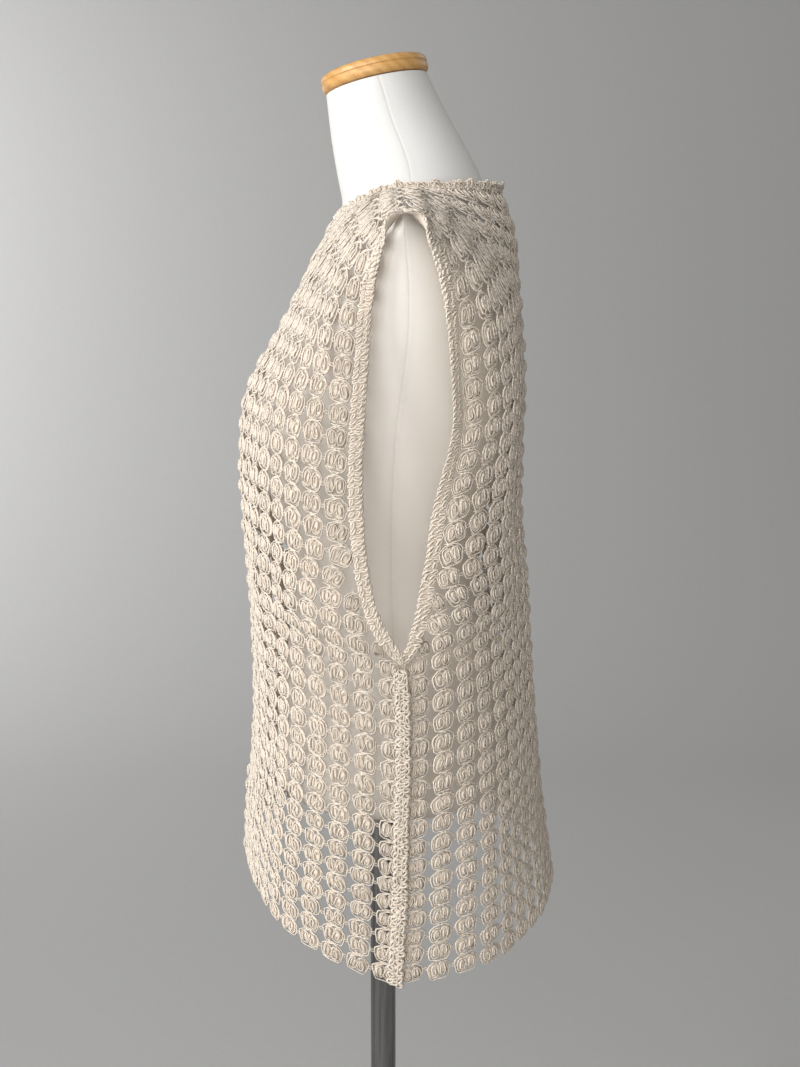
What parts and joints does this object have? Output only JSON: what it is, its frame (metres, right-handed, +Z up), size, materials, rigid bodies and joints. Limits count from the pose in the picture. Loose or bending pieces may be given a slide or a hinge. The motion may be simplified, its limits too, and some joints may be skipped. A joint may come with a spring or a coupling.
{
  "type": "crochet sweater vest on a limbless dress form",
  "caption": "Open crochet sleeveless pullover vest with a round neck and deep armholes, worn on a limbless dress form with a turned neck cap, pole and round base.",
  "frame": {"origin": "on the floor at the middle of the base plate's underside, on the pole's axis", "axes": "+Z up along the pole, -Y the wearer's front, +X the wearer's left"},
  "size_m": [0.4472, 0.36, 1.3239],
  "materials": {
    "yarn": "matt ecru cotton yarn, crocheted",
    "form_cover": "smooth white jersey cover",
    "wood": "honey lacquer, satin",
    "steel": "polished tube",
    "enamel": "satin black"
  },
  "bodies": {
    "root": {"front_panel": "yarn", "back_panel": "yarn", "neckband": "yarn", "armhole_band_left": "yarn", "armhole_band_right": "yarn", "side_strip_left": "yarn", "side_strip_right": "yarn", "form_torso": "form_cover", "neck_cap": "wood", "pole": "steel", "base_plate": "enamel"}
  },
  "joints": []
}
